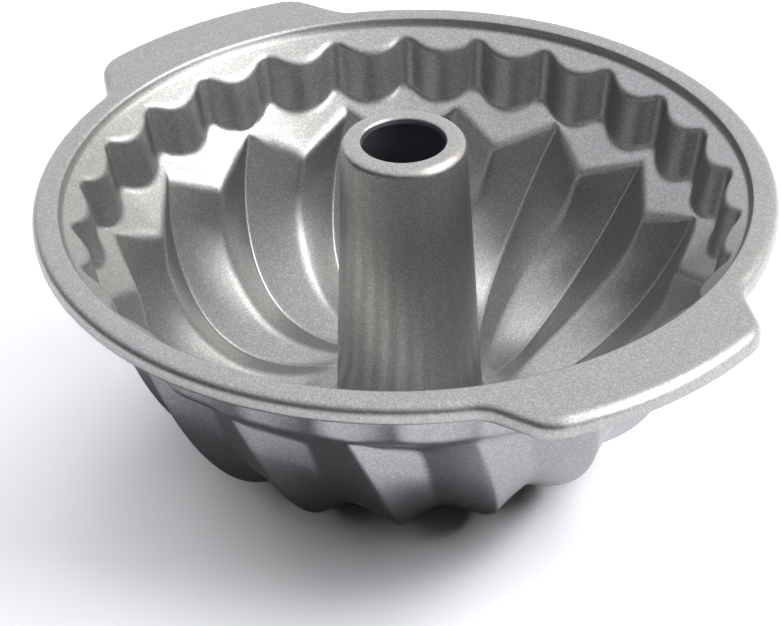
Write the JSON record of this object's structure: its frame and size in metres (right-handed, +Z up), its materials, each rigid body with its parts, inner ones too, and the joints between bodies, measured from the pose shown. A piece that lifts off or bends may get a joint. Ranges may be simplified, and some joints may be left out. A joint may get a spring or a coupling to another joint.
{
  "type": "fluted tube pan",
  "caption": "Deep ring cake pan with swirled flutes, a scalloped band, a rolled rim with two grip lugs and a tapered centre tube open at the top.",
  "frame": {"origin": "on the table, on the pan's centre line", "axes": "+Z up along the centre tube, +X through the middle of a grip lug, +Y along the rim's plain side"},
  "size_m": [0.307, 0.272, 0.1211],
  "materials": {
    "shell_metal": "satin metallic with a fine sparkle",
    "tube_metal": "satin metallic, drawn lengthwise"
  },
  "bodies": {
    "root": {"pan_shell": "shell_metal", "centre_tube": "tube_metal"}
  },
  "joints": []
}
